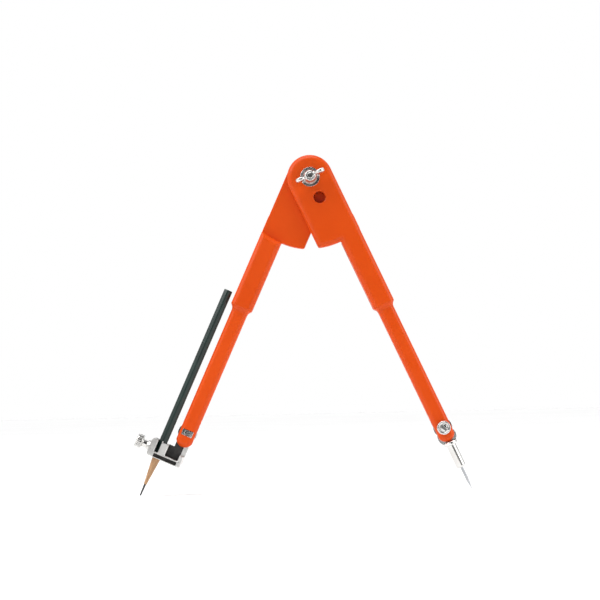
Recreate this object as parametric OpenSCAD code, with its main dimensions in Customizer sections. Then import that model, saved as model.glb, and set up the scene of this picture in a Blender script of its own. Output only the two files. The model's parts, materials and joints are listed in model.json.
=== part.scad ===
// Large pencil compass: two identical moulded arms lapped at the head, a wing
// nut on the pivot, a tilting steel point on one leg and a tilting pencil
// clamp on the other. Millimetres, +Z up, the head pivot at the origin with
// its axis along Y. The needle arm is in front (-Y) at the lap.

/* [Pose] */
// Angle between the two legs as modelled
opening = 48.6; // [0:0.2:110]

/* [Arms] */
// Radius of the rounded head, half the width of the head plate
head_r = 19.2; // [17:0.2:22]
// Radius of the lower edge of the head plate about the pivot
plate_r = 60.2; // [56:0.1:70]
// Full thickness of an arm at the head and the sleeve
arm_t = 16.6; // [14:0.2:20]
// Distance from the pivot's centre line to the leg's centre line
leg_axis = 9.8; // [9.6:0.1:11]
// Width of the thick upper sleeve
sleeve_w = 18.8; // [16:0.2:19]
// Distance from the pivot down to the end of the sleeve
sleeve_end = 124.6; // [110:0.1:140]
// Width of the slim lower leg
leg_w = 13.9; // [12:0.1:15]
// Thickness of the slim lower leg
leg_t = 12.2; // [10:0.1:14]
// Distance from the pivot down to the rounded end of the leg
leg_end = 250.6; // [220:0.1:255]
// Diameter of the hanging hole through the head plates
hang_d = 10; // [6:0.5:12]

/* [Pivot] */
// Diameter of the pivot bolt
bolt_d = 5; // [4:1:6]
// Diameter of the plain washer under the wing nut
washer_d = 16.5; // [12:0.5:20]
// Span of the wing nut from wing tip to wing tip
wing_span = 25.2; // [18:0.1:30]
// Angle at which the wings stand across the head
wing_turn = 23; // [0:1:180]

/* [Feet] */
// Diameter of the thumb screws that hold the two feet and the pencil
screw_d = 4; // [3:0.5:5]
// Diameter of the knurled thumb-screw heads on the legs
knob_d = 11.5; // [9:0.5:13]
// Diameter of the bare needle
needle_d = 2.5; // [1.5:0.1:3]
// Distance from the pivot down to the tip of the needle
needle_tip = 294.5; // [290:0.1:310]

/* [Pencil] */
// Width of the hexagonal pencil across its flats
pencil_af = 7; // [6.6:0.1:7.2]
// Distance from the leg's centre line out to the pencil's axis
pencil_out = 15.9; // [15:0.1:17]
// Distance from the pivot down to the blunt end of the pencil
pencil_top = 114.6; // [80:0.1:180]
// Distance from the pivot down to the tip of the lead
pencil_tip = 301.4; // [290:0.1:315]

/* [Hidden] */
$fn = 64;

orange = "#e8581a";
nickel = "#c8ccd0";
steel = "#9ea4aa";

fit = 0.06;                         // radial clearance of a turning fit
cut = 1;                            // how far a cutter reaches past a face

// arms
disc_t = 0.6;                       // friction disc between the two plates
lap = disc_t / 2;                   // where each plate's inner face lies
face = arm_t / 2;                   // where each arm's outer face lies
bevel_w = 4;                        // bevel along the edges, seen from the front
bevel_t = 3.2;                      // the same bevel, seen from the side
leg_bevel = 2.4;
swing_r = plate_r + 0.6;            // the sleeve keeps this far from the pivot
hang_u = 18.8;                      // centre of the hanging hole below the pivot
hang_rim = 1.1;
shoulder = [[0, 1], [0.8, 0.5], [2.4, 0.16], [4.6, 0]];   // [below the sleeve, share of the step]

// leg ends
hinge_u = leg_end - 12.5;           // where the foot's thumb screw crosses the leg
end_r = 7.33;
slot_t = 2.5;
tongue_t = 2.2;
eye_r = 8.1;
slot_top = hinge_u - eye_r - 0.6;
nut = [9.2, 5.2, 3.2];              // across the leg, along it, deep
nut_gap = 0.1;
under_t = 0.8;                      // washer under a thumb-screw head
knob_t = 4.6;
slot_w = 2;                         // coin slot across a thumb-screw head
screw_past = 5.3;                   // where the screw's end lies past the middle
knurls = 30;

// pivot stack
washer_t = 1;
lock_t = 1.2;
lock_d = 9.2;
hub_t = 6.5;
hub_d = 12.4;
hub_top_d = 8.6;
wing_t = 2.8;
wing_r = 3.9;
wing_h = 7.4;
bolt_past = 17.8;
bolt_af = 8;
bolt_head_t = 3.5;
rear_d = 15;

// needle foot
collar_d = 12.2;
cheek_u = leg_end - 4.4;             // centre of the round cheeks over the collar
collar_top = leg_end + 0.3;
collar_end = leg_end + 3.5;
barrel_d = 8.2;
barrel_end = leg_end + 24;
shank_d = 3.4;                      // the needle's thicker end, pressed into the barrel
needle_in = barrel_end - 12;
needle_cone = leg_end + 36;

// pencil foot
bracket_top = leg_end + 2;
bracket_end = leg_end + 17.1;
floor_u = leg_end + 12.1;             // top of the bracket's floor
bracket_t = 14;
wall_in = 19.8;                     // inner wall of the pencil box
box_in = 21.9;
box_out = 29.5;
block_out = 34.8;
boss = [9.4, 7.2];                  // round the clamp screw: widths at foot and top
boss_t = 2.6;
box_t = 8.9;
lip_out = 26.1;                       // where the front lip stops
flange = [4.5, 8.3];
groove = [1.2, 2, 0.8];             // in the front of the floor: below its top, deep, above its foot
hole_d = 8.7;
clamp_u = leg_end + 9.6;
pad_d = 4.4;
pad_t = 1;
pad_room = 2.5;                     // the pad backs off into this much of the block
grip_d = 12.2;
grip_t = 5.6;
neck_d = 6.4;
neck_t = 3.6;
pencil_v = leg_axis + pencil_out;
cone_u = leg_end + 7;               // where the sharpened cone begins
lead_d = 2;
lead_end_d = 1.3;
lead_u = pencil_tip - 10.3;         // where the wood stops and bare lead begins

// A rectangle with bevelled corners: width, thickness, bevel on each
function beveled(w, t, bw, bt) = [
    [bw - w / 2, -t / 2], [w / 2 - bw, -t / 2], [w / 2, bt - t / 2], [w / 2, t / 2 - bt],
    [w / 2 - bw, t / 2], [bw - w / 2, t / 2], [-w / 2, t / 2 - bt], [-w / 2, bt - t / 2]];

// A knurled outline of n shallow notches round a circle of diameter d
function knurled(d, n, deep = 0.35) = [
    for (i = [0 : 2 * n - 1]) let (r = d / 2 - (i % 2) * deep) r * [cos(180 * i / n), sin(180 * i / n)]];

// Each arm is drawn pointing down: x outward, -z along the leg, its plate at -y
module needle_side() rotate([0, -opening / 2, 0]) children();
module pencil_side() rotate([0, opening / 2, 0]) rotate([0, 0, 180]) children();

// A cylinder along Y from y0 to y1 at x, u below the pivot
module along_y(d, y0, y1, x = 0, u = 0)
    translate([x, y1, -u]) rotate([90, 0, 0]) cylinder(d = d, h = y1 - y0);

// A cone along Y
module cone_y(d0, d1, y0, y1, x = 0, u = 0)
    translate([x, y0, -u]) rotate([-90, 0, 0]) cylinder(d1 = d0, d2 = d1, h = y1 - y0);

// A beveled bar on the leg's axis from u0 to u1 below the pivot
module bar(u0, u1, w, t, bw, bt)
    translate([leg_axis, 0, -u1]) linear_extrude(height = u1 - u0) polygon(beveled(w, t, bw, bt));

// A round plate about the pivot whose front rim is beveled
module round_plate(r)
    rotate([90, 0, 0]) rotate_extrude($fn = 128)
        polygon([[0, lap], [r, lap], [r, face - bevel_t], [r - bevel_w, face], [0, face]]);

// The half-thickness plate of the lap joint
module head_plate() {
    round_plate(head_r);
    intersection() {
        round_plate(plate_r);
        translate([0, 0, -plate_r]) linear_extrude(height = plate_r)
            polygon([[-head_r, -lap], [head_r, -lap], [head_r, bevel_t - face],
                [head_r - bevel_w, -face], [bevel_w - head_r, -face], [-head_r, bevel_t - face]]);
    }
}

// The thick upper part of the arm, hollowed by the other arm's swing
module sleeve()
    difference() {
        bar(hang_u * 2, sleeve_end, sleeve_w, arm_t, bevel_w, bevel_t);
        along_y(2 * swing_r, -lap, face + cut);
        cone_y(2 * swing_r, 2 * (swing_r + bevel_w), face - bevel_t, face);
    }

// One tapering slice of the step from the sleeve to the slim leg
module shoulder_slice(a, b)
    hull() for (s = [a, b]) {
        w = leg_w + s[1] * (sleeve_w - leg_w);
        t = leg_t + s[1] * (arm_t - leg_t);
        bw = leg_bevel + s[1] * (bevel_w - leg_bevel);
        bt = leg_bevel + s[1] * (bevel_t - leg_bevel);
        bar(sleeve_end + s[0] - 0.01, sleeve_end + s[0], w, t, bw, bt);
    }

// The slim leg with its round end
module slim_leg() {
    bar(sleeve_end, leg_end - end_r, leg_w, leg_t, leg_bevel, leg_bevel);
    intersection() {
        bar(leg_end - end_r - 2, leg_end, leg_w, leg_t, leg_bevel, leg_bevel);
        along_y(2 * end_r, -leg_t, leg_t, leg_axis, leg_end - end_r);
    }
}

// One arm; both arms come out of the same mould
module arm()
    difference() {
        union() {
            head_plate();
            sleeve();
            for (i = [0 : len(shoulder) - 2]) shoulder_slice(shoulder[i], shoulder[i + 1]);
            slim_leg();
        }
        along_y(bolt_d + 2 * fit, -face - cut, cut);
        along_y(hang_d, -face - cut, cut, 0, hang_u);
        cone_y(hang_d + 2 * hang_rim, hang_d, -face, hang_rim - face, 0, hang_u);
        translate([leg_axis - leg_w, -slot_t / 2, -leg_end - cut])
            cube([2 * leg_w, slot_t, leg_end + cut - slot_top]);
        along_y(screw_d + 2 * fit, -leg_t, leg_t, leg_axis, hinge_u);
        translate([leg_axis - nut[0] / 2 - nut_gap, leg_t / 2 - nut[2], -hinge_u - nut[1] / 2 - nut_gap])
            cube([nut[0] + 2 * nut_gap, leg_t, nut[1] + 2 * nut_gap]);
    }

module needle_arm() color(orange) needle_side() arm();
module pencil_arm() color(orange) pencil_side() arm();

// A plain washer along Y
module ring(d, bore, y0, y1, x = 0, u = 0)
    difference() {
        along_y(d, y0, y1, x, u);
        along_y(bore, y0 - cut, y1 + cut, x, u);
    }

module pivot_bolt() color(nickel) {
    along_y(bolt_d, -bolt_past, face + washer_t + 1);
    translate([0, face + washer_t + bolt_head_t, 0]) rotate([90, 0, 0])
        cylinder(d = bolt_af / cos(30), h = bolt_head_t, $fn = 6);
}
module rear_washer() color(nickel) ring(rear_d, bolt_d + 2 * fit, face, face + washer_t);
module friction_disc() color("#303030") ring(28, bolt_d + 2 * fit, -lap, lap);
module front_washer() color(nickel) ring(washer_d, bolt_d + 2 * fit, -face - washer_t, -face);

// Split lock washer: a ring with one slanting cut
module lock_washer() color(steel) {
    y0 = -face - washer_t - lock_t;
    difference() {
        ring(lock_d, bolt_d + 2 * fit, y0, y0 + lock_t);
        translate([0, y0 + lock_t / 2, lock_d / 2]) rotate([0, 0, 25])
            cube([0.7, 3 * lock_t, lock_d], center = true);
    }
}

// Wing nut: a conical hub with two rounded wings leaning outward
module wing_nut() color(nickel) {
    y0 = -face - washer_t - lock_t;
    difference() {
        union() {
            cone_y(hub_top_d, hub_d, y0 - hub_t, y0);
            rotate([0, -wing_turn, 0]) for (side = [0, 1]) mirror([side, 0, 0])
                translate([0, y0, -wing_t / 2]) linear_extrude(height = wing_t) {
                    translate([wing_span / 2 - wing_r, -wing_h]) circle(wing_r);
                    polygon([[3.4, -0.6], [5.2, -0.8], [wing_span / 2 - 1.2, -wing_h + 2.9],
                        [wing_span / 2 - wing_r - 1.4, -wing_h - 3.6], [3.4, -hub_t + 0.4]]);
                }
        }
        along_y(bolt_d + 2 * fit, y0 - 2 * hub_t, y0 + cut);
    }
}

// A thumb screw whose knurled, slotted head lies on the arm's plate side
module thumb_screw() color(nickel) {
    y0 = -leg_t / 2 - under_t;
    difference() {
        union() {
            translate([leg_axis, y0, -hinge_u]) rotate([90, 0, 0])
                linear_extrude(height = knob_t) polygon(knurled(knob_d, knurls));
            along_y(screw_d, y0 - cut, screw_past, leg_axis, hinge_u);
        }
        translate([leg_axis, y0 - knob_t, -hinge_u]) rotate([0, -17, 0])
            cube([slot_w, 2.6, 2 * knob_d], center = true);
    }
}
module foot_washer() color(steel)
    ring(knob_d - 1.7, screw_d + 2 * fit, -leg_t / 2 - under_t, -leg_t / 2, leg_axis, hinge_u);

// The plate nut let into the far side of the leg
module plate_nut() color("#dde0e2")
    difference() {
        translate([leg_axis - nut[0] / 2, leg_t / 2 - nut[2], -hinge_u - nut[1] / 2])
            cube([nut[0], nut[2] - 0.2, nut[1]]);
        along_y(screw_d + 2 * fit, 0, leg_t, leg_axis, hinge_u);
    }

module needle_nut() needle_side() plate_nut();
module needle_washer() needle_side() foot_washer();
module needle_thumb_screw() needle_side() thumb_screw();
module pencil_nut() pencil_side() plate_nut();
module pencil_washer() pencil_side() foot_washer();
module pencil_thumb_screw() pencil_side() thumb_screw();

// The flat tongue with an eye by which a foot tilts in the leg's slot
module tongue(w, end)
    difference() {
        union() {
            along_y(2 * eye_r, -tongue_t / 2, tongue_t / 2, leg_axis, hinge_u);
            translate([leg_axis - w / 2, -tongue_t / 2, -end]) cube([w, tongue_t, end - hinge_u]);
        }
        along_y(screw_d + 2 * fit, -tongue_t, tongue_t, leg_axis, hinge_u);
    }

// A cylinder or cone on an axis parallel to the leg
module along_leg(x, u0, u1, d0, d1)
    translate([x, 0, -u1]) cylinder(d1 = d1, d2 = d0, h = u1 - u0);

module needle_holder() color(nickel) needle_side()
    difference() {
        union() {
            tongue(collar_d - 0.6, collar_end);
            along_y(2 * eye_r, -tongue_t / 2, tongue_t / 2, leg_axis, cheek_u);
            along_leg(leg_axis, collar_top, collar_end, collar_d, collar_d);
            along_leg(leg_axis, collar_end, barrel_end - 1, barrel_d, barrel_d);
            along_leg(leg_axis, barrel_end - 1, barrel_end, barrel_d, barrel_d - 2);
        }
        along_leg(leg_axis, needle_in, barrel_end + cut, shank_d, shank_d);
        along_y(screw_d + 2 * fit, -tongue_t, tongue_t, leg_axis, hinge_u);
    }

module needle() color(steel) needle_side() {
    along_leg(leg_axis, needle_in, barrel_end, shank_d, shank_d);
    along_leg(leg_axis, barrel_end, needle_cone, needle_d, needle_d);
    along_leg(leg_axis, needle_cone, needle_tip, needle_d, 0.2);
}

// A box in the arm's frame from [x, y, u] to [x, y, u]
module block(a, b)
    translate([a[0], a[1], -b[2]]) cube([b[0] - a[0], b[1] - a[1], b[2] - a[2]]);

// The box that holds the pencil, open above, at the front and at the floor hole
module pencil_box() {
    half = bracket_t / 2;
    difference() {
        union() {
            intersection() {
                block([wall_in, -half, bracket_top - 0.5], [block_out, half, bracket_end]);
                translate([(wall_in + block_out) / 2, 0, -bracket_end]) linear_extrude(height = 30)
                    polygon(beveled(block_out - wall_in, bracket_t, 1.8, 1.8));
            }
            translate([block_out - cut, 0, -clamp_u]) rotate([0, 90, 0])
                cylinder(d1 = boss[0], d2 = boss[1], h = boss_t + cut);
        }
        block([box_in, -box_t / 2, 0], [box_out, box_t / 2, floor_u]);
        block([lip_out, 0, 0], [box_out, half + cut, floor_u]);
        along_leg(pencil_v, floor_u - cut, bracket_end + cut, hole_d, hole_d);
        translate([box_out - cut, 0, -clamp_u]) rotate([0, 90, 0])
            cylinder(d = pad_d + 0.4, h = cut + pad_room);
        translate([box_out, 0, -clamp_u]) rotate([0, 90, 0]) cylinder(d = screw_d + 2 * fit, h = 10);
        block([0, -half - cut, 0], [box_in, half + cut, bracket_top + 0.5]);
    }
}

module pencil_bracket() color(nickel) pencil_side() {
    half = bracket_t / 2;
    tongue(11.6, floor_u + 1);
    difference() {
        union() {
            pencil_box();
            block([flange[0], -half, floor_u], [wall_in + 1, half, bracket_end]);
        }
        block([flange[1], half - groove[1], floor_u + groove[0]],
            [box_out - 0.6, half + cut, bracket_end - groove[2]]);
    }
    block([flange[0], -half, floor_u - 5], [flange[1], half, bracket_end]);
    block([flange[0], -tongue_t / 2, bracket_top], [wall_in + 1, tongue_t / 2, floor_u + 1]);
    block([flange[0], -half, bracket_top + 3], [wall_in + 1, 2.4 - half, floor_u + 1]);
}

// The swivelling pad on the end of the clamp screw
module clamp_pad() color(steel) pencil_side()
    translate([pencil_v + pencil_af / 2 + 0.05, 0, -clamp_u]) rotate([0, 90, 0])
        cylinder(d = pad_d, h = pad_t);

module clamp_screw() color(nickel) pencil_side()
    translate([pencil_v + pencil_af / 2 + 0.05 + pad_t, 0, -clamp_u]) rotate([0, 90, 0]) {
        past = block_out + boss_t + 0.4 - (pencil_v + pencil_af / 2 + 0.05 + pad_t);
        cylinder(d = screw_d, h = past + 1);
        translate([0, 0, past]) cylinder(d = neck_d, h = neck_t);
        translate([0, 0, past + neck_t]) linear_extrude(height = grip_t) polygon(knurled(grip_d, knurls));
    }

module pencil_wood() color("#14322d") pencil_side()
    difference() {
        intersection() {
            translate([pencil_v, 0, -lead_u]) rotate([0, 0, 30])
                cylinder(d = pencil_af / cos(30), h = lead_u - pencil_top, $fn = 6);
            union() {
                along_leg(pencil_v, pencil_top - cut, cone_u, 2 * pencil_af, 2 * pencil_af);
                along_leg(pencil_v, cone_u - cut, lead_u, pencil_af / cos(30) + 1.2, lead_d + 0.4);
            }
        }
        along_leg(pencil_v, pencil_top - cut, lead_u + cut, lead_d, lead_d);
    }

module pencil_lead() color("#202020") pencil_side() {
    along_leg(pencil_v, pencil_top, lead_u, lead_d, lead_d);
    along_leg(pencil_v, lead_u, pencil_tip, lead_d, lead_end_d);
}

needle_arm();
pencil_arm();
pivot_bolt();
rear_washer();
friction_disc();
front_washer();
lock_washer();
wing_nut();
needle_nut();
needle_washer();
needle_thumb_screw();
needle_holder();
needle();
pencil_nut();
pencil_washer();
pencil_thumb_screw();
pencil_bracket();
clamp_pad();
clamp_screw();
pencil_wood();
pencil_lead();
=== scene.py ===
"""Large moulded-plastic pencil compass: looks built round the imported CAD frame."""
import itertools
import json
import math

import bmesh
import bpy
import numpy as np
from mathutils import Matrix, Vector


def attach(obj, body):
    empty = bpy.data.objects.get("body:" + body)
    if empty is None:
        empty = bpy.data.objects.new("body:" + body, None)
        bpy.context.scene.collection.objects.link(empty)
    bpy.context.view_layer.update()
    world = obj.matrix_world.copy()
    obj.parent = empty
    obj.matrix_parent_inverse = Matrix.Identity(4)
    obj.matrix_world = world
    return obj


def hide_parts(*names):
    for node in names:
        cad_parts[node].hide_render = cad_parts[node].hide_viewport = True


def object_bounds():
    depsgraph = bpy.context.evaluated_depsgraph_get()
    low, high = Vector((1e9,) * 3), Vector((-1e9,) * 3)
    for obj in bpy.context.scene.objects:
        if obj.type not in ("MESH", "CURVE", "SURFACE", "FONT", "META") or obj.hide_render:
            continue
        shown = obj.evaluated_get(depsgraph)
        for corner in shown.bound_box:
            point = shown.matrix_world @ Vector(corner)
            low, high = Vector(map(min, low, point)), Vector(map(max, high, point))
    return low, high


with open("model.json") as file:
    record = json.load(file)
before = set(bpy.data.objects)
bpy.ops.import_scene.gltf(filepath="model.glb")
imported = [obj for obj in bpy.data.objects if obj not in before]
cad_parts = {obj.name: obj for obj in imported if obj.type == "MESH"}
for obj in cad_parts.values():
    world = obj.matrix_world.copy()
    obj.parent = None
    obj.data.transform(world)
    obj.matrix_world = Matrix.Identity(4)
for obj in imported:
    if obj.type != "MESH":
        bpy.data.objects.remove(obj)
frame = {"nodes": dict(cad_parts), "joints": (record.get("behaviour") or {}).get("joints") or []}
CAD_BOX = [list(corner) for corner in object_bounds()]

# ---------------------------------------------------------------- sizes, from the frame
# Everything is built in millimetres in an arm's own frame: x outward, y through
# the thickness with the arm's head plate at -y, and z up, so that the leg hangs
# along -z. u is the distance below the pivot. A name that ends in _R holds a
# radius, _W a width, _T a thickness and _U a place given by its u.
MM = 0.001
JOINTS = {j["name"]: j for j in frame["joints"]}
UP = JOINTS["pencil_slide"]["axis"]
HALF_OPENING = math.atan2(UP[0], UP[2])
HEAD = Matrix.Identity(4)
NEEDLE_SIDE = Matrix.Rotation(-HALF_OPENING, 4, "Y")
PENCIL_SIDE = Matrix.Rotation(HALF_OPENING, 4, "Y") @ Matrix.Rotation(math.pi, 4, "Z")


def own_box(node, side):
    """A CAD node's lowest and highest corners in an arm's own frame, in millimetres."""
    back = side.inverted()
    co = np.array([back @ v.co for v in frame["nodes"][node].data.vertices]) / MM
    return co.min(0), co.max(0)


ARM_LOW, ARM_HIGH = own_box("needle_arm", NEEDLE_SIDE)
HOLDER_LOW, HOLDER_HIGH = own_box("needle_holder", NEEDLE_SIDE)
NEEDLE_LOW, NEEDLE_HIGH = own_box("needle", NEEDLE_SIDE)
KNOB_LOW, KNOB_HIGH = own_box("needle_thumb_screw", NEEDLE_SIDE)
NUT_LOW, NUT_HIGH = own_box("needle_nut", NEEDLE_SIDE)
BRACKET_LOW, BRACKET_HIGH = own_box("pencil_bracket", PENCIL_SIDE)
CLAMP_LOW, CLAMP_HIGH = own_box("clamp_screw", PENCIL_SIDE)
PAD_LOW, PAD_HIGH = own_box("clamp_pad", PENCIL_SIDE)
WOOD_LOW, WOOD_HIGH = own_box("pencil_wood", PENCIL_SIDE)
LEAD_LOW, LEAD_HIGH = own_box("pencil_lead", PENCIL_SIDE)
WING_LOW, WING_HIGH = own_box("wing_nut", HEAD)

HEAD_R = ARM_HIGH[2]
FACE = ARM_HIGH[1]
LEG_END = -ARM_LOW[2]
LEG_AXIS = (NEEDLE_LOW[0] + NEEDLE_HIGH[0]) / 2
HINGE_U = -(KNOB_LOW[2] + KNOB_HIGH[2]) / 2
PENCIL_X = (LEAD_LOW[0] + LEAD_HIGH[0]) / 2
CLAMP_U = -(CLAMP_LOW[2] + CLAMP_HIGH[2]) / 2

LAP = own_box("friction_disc", HEAD)[1][1]
PLATE_R = 60.2
SWING_R = PLATE_R + 0.6
SLEEVE_END = 124.6
SLEEVE_W = 18.8
LEG_W, LEG_T = 13.9, 12.2
SHOULDER = 4.6
END_R = 7.33
HANG_U, HANG_R = 18.8, 5.0
TONGUE_T, EYE_R, NECK_HALF = 2.2, 8.1, 5.8
SLOT_T, SLOT_TOP = 2.5, HINGE_U - EYE_R - 0.6
CHEEK_U = LEG_END - 4.4
BOLT_R, SCREW_R = 2.5, 2.0
BOLT_PITCH, SCREW_PITCH = 0.8, 0.7


# ---------------------------------------------------------------- node materials
class Look:
    """A procedural material: a Principled shader and short calls that feed it."""

    def __init__(self, name, **sockets):
        self.mat = bpy.data.materials.new(name)
        self.mat.use_nodes = True
        self.nodes, self.links = self.mat.node_tree.nodes, self.mat.node_tree.links
        self.shader = self.nodes["Principled BSDF"]
        self.place = self.nodes.new("ShaderNodeTexCoord").outputs["Object"]
        for key, value in sockets.items():
            self.shader.inputs[key.replace("_", " ")].default_value = value

    def add(self, kind, inputs=(), **fields):
        node = self.nodes.new(kind)
        for key, value in fields.items():
            setattr(node, key, value)
        for key, value in dict(inputs).items():
            if isinstance(value, bpy.types.NodeSocket):
                self.links.new(value, node.inputs[key])
            else:
                node.inputs[key].default_value = value
        return node

    def stretched(self, scale, tilt=0.0):
        inputs = {"Vector": self.place, "Scale": scale, "Rotation": (0, tilt, 0)}
        return self.add("ShaderNodeMapping", inputs, vector_type="TEXTURE").outputs[0]

    def noise(self, scale, detail=3.0, place=None, rough=0.5):
        inputs = {"Vector": place or self.place, "Scale": scale, "Detail": detail, "Roughness": rough}
        return self.add("ShaderNodeTexNoise", inputs).outputs["Fac"]

    def spread(self, value, low, high, out_low=0.0, out_high=1.0):
        inputs = {"Value": value, "From Min": low, "From Max": high,
                  "To Min": out_low, "To Max": out_high}
        return self.add("ShaderNodeMapRange", inputs).outputs["Result"]

    def ramp(self, value, *stops):
        node = self.add("ShaderNodeValToRGB", {"Fac": value})
        elements = node.color_ramp.elements
        while len(elements) < len(stops):
            elements.new(0.5)
        for element, (at, colour) in zip(elements, stops):
            element.position = at
            element.color = (*colour, 1)
        return node.outputs["Color"]

    def mix(self, share, a, b):
        node = self.add("ShaderNodeMix", data_type="RGBA")
        for socket, value in ((node.inputs[0], share), (node.inputs[6], a), (node.inputs[7], b)):
            if isinstance(value, bpy.types.NodeSocket):
                self.links.new(value, socket)
            else:
                socket.default_value = value if isinstance(value, float) else (*value, 1)
        return node.outputs[2]

    def feed(self, name, value):
        self.links.new(value, self.shader.inputs[name])

    def bump(self, *layers):
        """layers are (height, strength, depth in metres), each laid over the one before."""
        normal = None
        for height, strength, depth in layers:
            inputs = {"Height": height, "Strength": strength, "Distance": depth}
            if normal is not None:
                inputs["Normal"] = normal
            normal = self.add("ShaderNodeBump", inputs).outputs["Normal"]
        self.feed("Normal", normal)


def moulded_orange():
    look = Look("moulded_orange", IOR=1.49, Specular_IOR_Level=0.2,
                Subsurface_Weight=0.06, Subsurface_Scale=0.004)
    look.shader.inputs["Subsurface Radius"].default_value = (1.0, 0.25, 0.05)
    cloud = look.noise(22, 3)
    flow = look.noise(6, 2, look.stretched((1, 1, 4)))
    body = look.ramp(cloud, (0.3, (0.60, 0.058, 0.0018)), (0.7, (0.66, 0.070, 0.0030)))
    pale = look.ramp(flow, (0.35, (0.63, 0.063, 0.0022)), (0.75, (0.68, 0.079, 0.0040)))
    look.feed("Base Color", look.mix(0.35, body, pale))
    scuffs = look.noise(420, 5, look.stretched((1, 1, 6)), 0.7)
    look.feed("Roughness", look.spread(look.mix(0.5, cloud, scuffs), 0.3, 0.7, 0.30, 0.42))
    pebble = look.noise(1900, 2)
    sink = look.noise(45, 1)
    look.bump((sink, 0.25, 0.0004), (pebble, 0.10, 0.0001))
    return look.mat


def nickel(name, low, high, cast):
    """Nickel plate: mirror-like on turned pieces, a little rough and grainy on castings."""
    look = Look(name, Metallic=1.0)
    cloud = look.noise(70, 4)
    grain = look.noise(1500 if cast else 5200, 4, None, 0.65)
    tint = look.ramp(cloud, (0.3, (0.60, 0.59, 0.57)), (0.7, (0.76, 0.755, 0.74)))
    look.feed("Base Color", tint)
    look.feed("Roughness", look.spread(look.mix(0.4, cloud, grain), 0.3, 0.7, low, high))
    look.bump((grain, 0.22 if cast else 0.06, 0.00012 if cast else 0.00004))
    return look.mat


def painted_recess_shade():
    """Painted shade for the casting's hollows: near-black metal that stands in for the shade and dark
    reflections deep in its recesses.
    """
    look = Look("painted_recess_shade", Metallic=0.8)
    cloud = look.noise(180, 4)
    grain = look.noise(1500, 4, None, 0.65)
    look.feed("Base Color", look.ramp(cloud, (0.3, (0.028, 0.027, 0.026)), (0.7, (0.075, 0.073, 0.070))))
    look.feed("Roughness", look.spread(grain, 0.3, 0.7, 0.5, 0.75))
    look.bump((grain, 0.3, 0.00012))
    return look.mat


def steel():
    look = Look("hardened_steel", Metallic=1.0)
    cloud = look.noise(90, 3)
    lines = look.noise(2600, 3, look.stretched((6, 1, 6)))
    look.feed("Base Color", look.ramp(cloud, (0.3, (0.36, 0.37, 0.39)), (0.75, (0.55, 0.56, 0.58))))
    look.feed("Roughness", look.spread(look.mix(0.5, cloud, lines), 0.3, 0.7, 0.22, 0.38))
    look.bump((lines, 0.12, 0.00005))
    return look.mat


def fibre():
    look = Look("pressed_fibre")
    strands = look.noise(1600, 5, look.stretched((3, 1, 1)), 0.7)
    look.feed("Base Color", look.ramp(strands, (0.3, (0.012, 0.011, 0.010)), (0.7, (0.05, 0.045, 0.04))))
    look.feed("Roughness", look.spread(strands, 0.3, 0.7, 0.7, 0.95))
    look.bump((strands, 0.4, 0.0002))
    return look.mat


def lacquer():
    look = Look("green_lacquer", Coat_Weight=0.3, Coat_Roughness=0.2, IOR=1.5, Specular_IOR_Level=0.3)
    along = look.stretched((1, 1, 30), HALF_OPENING)
    streaks = look.noise(500, 3, along)
    cloud = look.noise(60, 3)
    look.feed("Base Color", look.ramp(cloud, (0.3, (0.003, 0.012, 0.010)), (0.7, (0.007, 0.024, 0.019))))
    look.feed("Roughness", look.spread(streaks, 0.3, 0.7, 0.26, 0.4))
    look.bump((streaks, 0.18, 0.0001))
    return look.mat


def bare_wood():
    look = Look("sharpened_wood")
    along = look.stretched((1, 1, 22), HALF_OPENING)
    grain = look.noise(1300, 5, along, 0.65)
    pores = look.noise(4200, 2, along)
    tone = look.ramp(grain, (0.28, (0.20, 0.095, 0.040)), (0.5, (0.42, 0.23, 0.11)),
                     (0.72, (0.56, 0.35, 0.19)))
    dark = look.ramp(pores, (0.35, (0.16, 0.075, 0.03)), (0.5, (0.5, 0.3, 0.16)))
    look.feed("Base Color", look.mix(0.3, tone, dark))
    look.feed("Roughness", look.spread(grain, 0.3, 0.7, 0.55, 0.75))
    look.bump((grain, 0.5, 0.00012))
    return look.mat


def graphite():
    look = Look("graphite", Metallic=0.35)
    smear = look.noise(3000, 4, look.stretched((1, 1, 5), HALF_OPENING))
    look.feed("Base Color", look.ramp(smear, (0.3, (0.018, 0.018, 0.02)), (0.7, (0.06, 0.06, 0.065))))
    look.feed("Roughness", look.spread(smear, 0.3, 0.7, 0.3, 0.5))
    look.bump((smear, 0.2, 0.00006))
    return look.mat


ORANGE = moulded_orange()
PLATED = nickel("turned_nickel", 0.09, 0.19, False)
CAST = nickel("cast_nickel", 0.24, 0.40, True)
# Painted shade, laid on the bracket's pocket, box and groove.
RECESS_SHADE = painted_recess_shade()
STEEL = steel()
FIBRE = fibre()
LACQUER = lacquer()
WOOD = bare_wood()
GRAPHITE = graphite()


# ---------------------------------------------------------------- mesh helpers
def mesh_object(name, verts, faces, slots=()):
    """A mesh object; slots gives each face's material index."""
    mesh = bpy.data.meshes.new(name)
    mesh.from_pydata([tuple(v) for v in verts], [], [tuple(int(i) for i in f) for f in faces])
    if len(slots):
        mesh.polygons.foreach_set("material_index", list(slots))
    mesh.update()
    obj = bpy.data.objects.new(name, mesh)
    bpy.context.scene.collection.objects.link(obj)
    return obj


def moved(obj, matrix):
    obj.data.transform(matrix)
    return obj


def joined(name, *parts):
    """One object from several."""
    bm = bmesh.new()
    for part in parts:
        bm.from_mesh(part.data)
        bpy.data.objects.remove(part)
    mesh = bpy.data.meshes.new(name)
    bm.to_mesh(mesh)
    bm.free()
    obj = bpy.data.objects.new(name, mesh)
    bpy.context.scene.collection.objects.link(obj)
    return obj


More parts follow.
